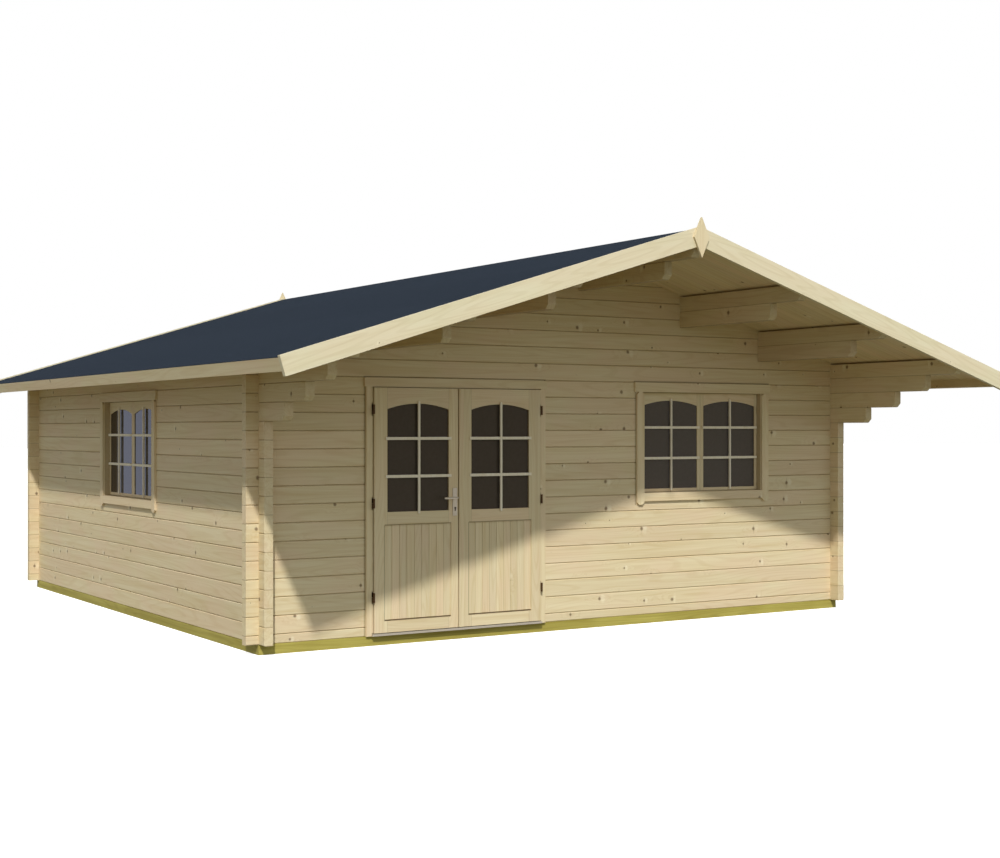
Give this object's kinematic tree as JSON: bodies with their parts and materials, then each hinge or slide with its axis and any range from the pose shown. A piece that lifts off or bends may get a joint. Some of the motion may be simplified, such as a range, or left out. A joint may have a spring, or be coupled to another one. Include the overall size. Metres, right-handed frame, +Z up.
{
  "type": "log cabin",
  "caption": "Gabled log cabin with interlocking log walls, a deep front roof on stepped corbels and purlins, a glazed double door and casement windows.",
  "frame": {"origin": "centre of the cabin's whole box, at ground level under the foundation", "axes": "+Z up, the door front faces -Y, +X to the right seen from the front"},
  "size_m": [6.785, 7.562, 3.2264],
  "materials": {
    "foundation": "pressure-treated, rough sawn",
    "floor_boards": "planed, untreated",
    "logs": "planed spruce, untreated, with small knots",
    "purlins": "planed spruce, untreated, with small knots",
    "roof_boards": "planed spruce boards, untreated",
    "roof_felt": "matt mineral bitumen felt",
    "roof_trim": "planed spruce, untreated",
    "door_frame": "planed spruce, untreated",
    "door_leaves": "planed spruce, untreated",
    "window_frames": "planed spruce, untreated",
    "glass": "clear",
    "threshold": "mill finish",
    "hinges": "dark",
    "handle": "satin"
  },
  "bodies": {
    "cabin": {"foundation_cross_beams": "foundation", "foundation_side_beams": "foundation", "floor_joists": "foundation", "floor_deck": "floor_boards", "front_wall_full_courses": "logs", "front_wall_half_courses": "logs", "back_wall_full_courses": "logs", "back_wall_half_courses": "logs", "left_wall_even_courses": "logs", "left_wall_odd_courses": "logs", "right_wall_even_courses": "logs", "right_wall_odd_courses": "logs", "lower_purlins": "purlins", "upper_purlins": "purlins", "roof_deck": "roof_boards", "roof_felt": "roof_felt", "bargeboards": "roof_trim", "gable_finials": "roof_trim", "eave_fascias": "roof_trim", "door_jambs": "door_frame", "door_head": "door_frame", "door_threshold": "threshold", "door_side_trims": "door_frame", "door_head_trim": "door_frame", "left_door_frame_hinges": "hinges", "right_door_frame_hinges": "hinges", "front_window_frame": "window_frames", "front_window_casements": "window_frames", "front_window_panes": "glass", "front_window_side_trims": "window_frames", "front_window_cross_trims": "window_frames", "left_window_frame": "window_frames", "left_window_casements": "window_frames", "left_window_panes": "glass", "left_window_side_trims": "window_frames", "left_window_cross_trims": "window_frames"},
    "left_leaf": {"left_door_leaf": "door_leaves", "left_door_glass": "glass", "left_door_panel": "door_leaves", "left_door_leaf_hinges": "hinges", "door_handle_plates": "handle"},
    "right_leaf": {"right_door_leaf": "door_leaves", "right_door_glass": "glass", "right_door_panel": "door_leaves", "right_door_leaf_hinges": "hinges", "door_meeting_strip": "door_leaves"},
    "lever": {"door_lever": "handle"}
  },
  "joints": [
    {"name": "left_leaf_hinge", "type": "hinge", "parent": "cabin", "child": "left_leaf", "pos_m": [-1.952, -2.268, 1.033], "axis": [0, 0, -1], "range_deg": [0, 160]},
    {"name": "right_leaf_hinge", "type": "hinge", "parent": "cabin", "child": "right_leaf", "pos_m": [-0.424, -2.268, 1.033], "axis": [0, 0, 1], "range_deg": [0, 160]},
    {"name": "lever_turn", "type": "hinge", "parent": "left_leaf", "child": "lever", "pos_m": [-1.238, -2.26, 1.114], "axis": [0, -1, 0], "range_deg": [0, 40], "stiffness_Nm_per_rad": 1.5, "springref_deg": -22.92}
  ]
}
